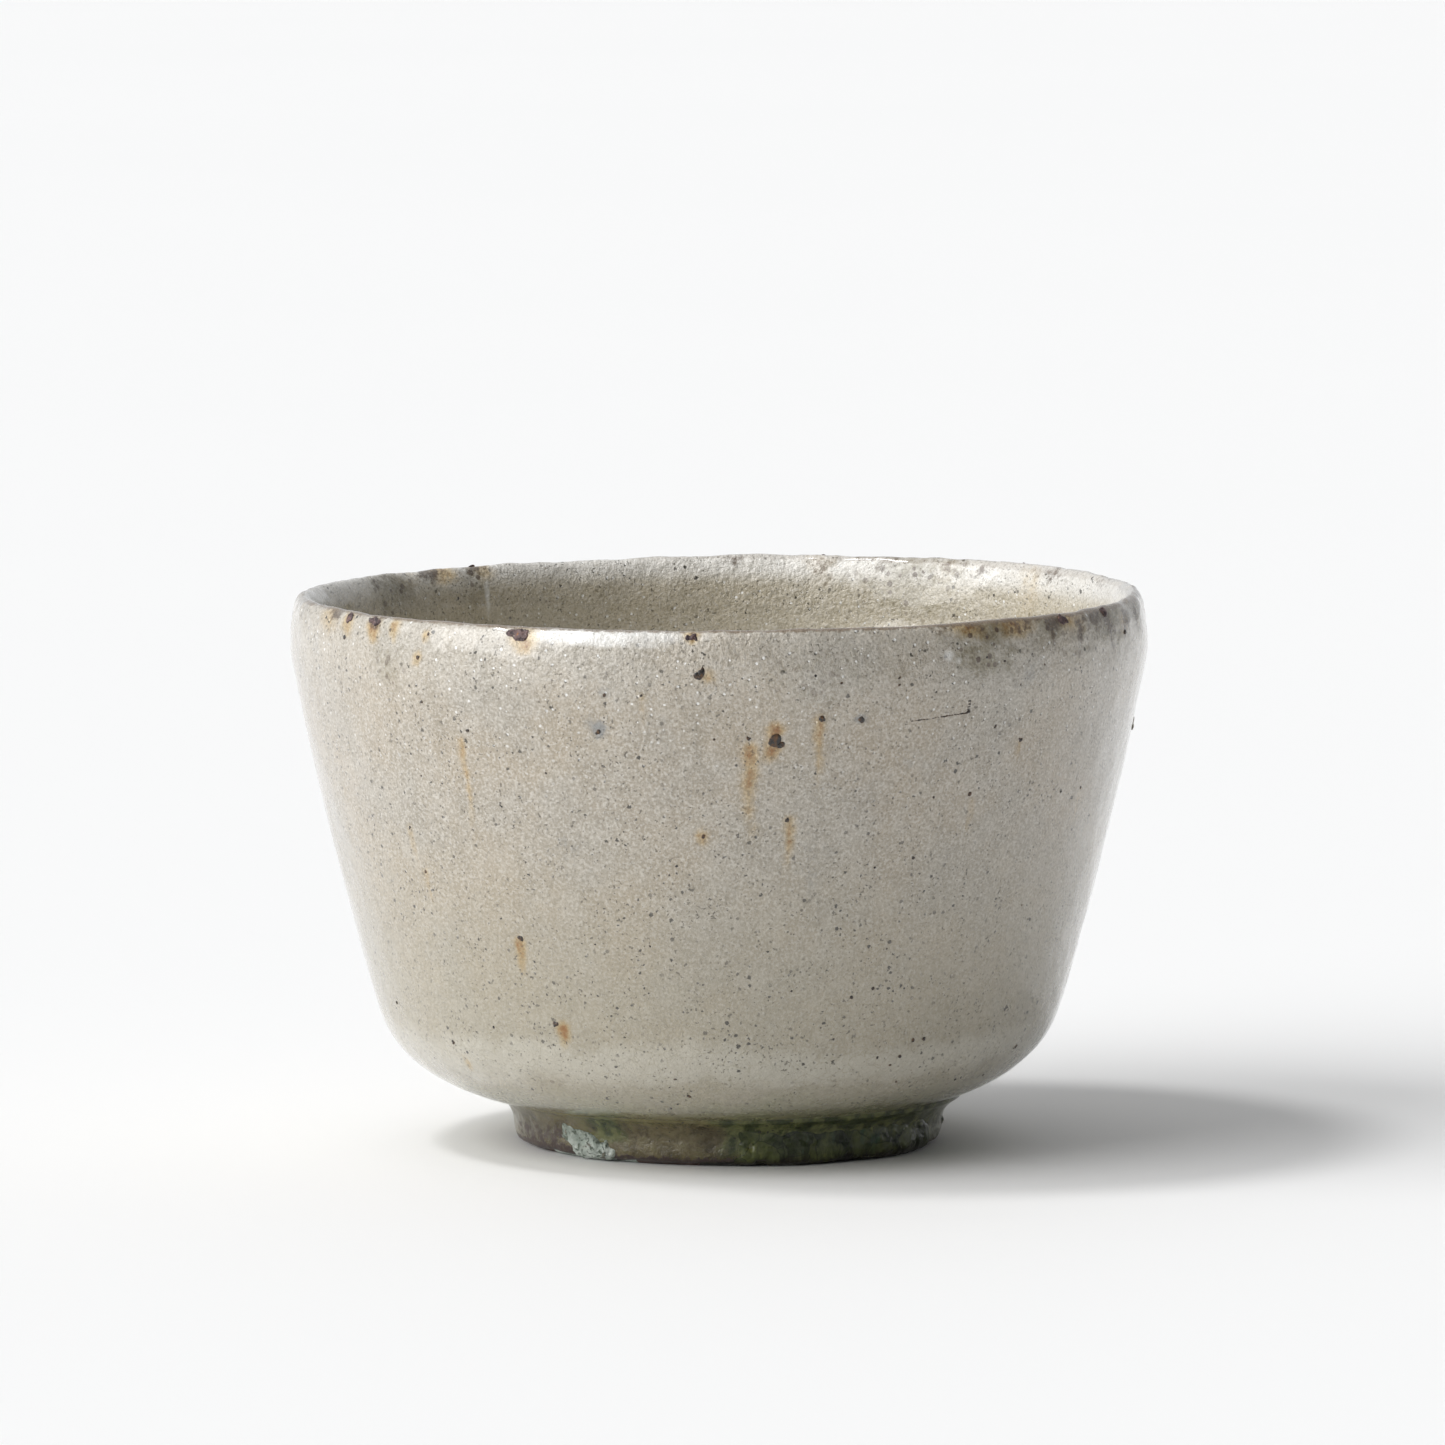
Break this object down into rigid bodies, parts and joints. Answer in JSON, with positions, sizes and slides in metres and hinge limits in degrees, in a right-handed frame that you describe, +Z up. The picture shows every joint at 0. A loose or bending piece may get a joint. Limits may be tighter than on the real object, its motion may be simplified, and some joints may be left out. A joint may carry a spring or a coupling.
{
  "type": "matcha bowl",
  "caption": "Round stoneware tea bowl with a drawn-in lip, a straight leaning wall and an offset foot ring, under a pale grey ash glaze with iron spots.",
  "frame": {"origin": "centre of the bowl's own axis on the plane that the foot ring stands on", "axes": "+Z up along the bowl's axis; +X to the right as the picture shows the bowl, towards the side that the foot ring is shifted to; -Y towards the viewer"},
  "size_m": [0.1216, 0.1216, 0.0785],
  "materials": {
    "stoneware": "matte",
    "slip": "matte",
    "ash_glaze": "gloss",
    "inside_glaze": "gloss",
    "foot_glaze": "gloss",
    "green_glass": "gloss",
    "scar_clay": "matte",
    "iron": "gloss",
    "iron_crust": "satin",
    "grit": "matte"
  },
  "bodies": {
    "root": {"clay_bowl": "stoneware", "foot_ring": "stoneware", "white_slip": "slip", "outer_glaze": "ash_glaze", "inner_glaze": "inside_glaze", "foot_glaze": "foot_glaze", "green_glass": "green_glass", "stilt_scar": "scar_clay", "iron_spots": "iron", "lip_iron": "iron_crust", "kiln_grit": "grit", "glass_bead": "green_glass"}
  },
  "joints": []
}
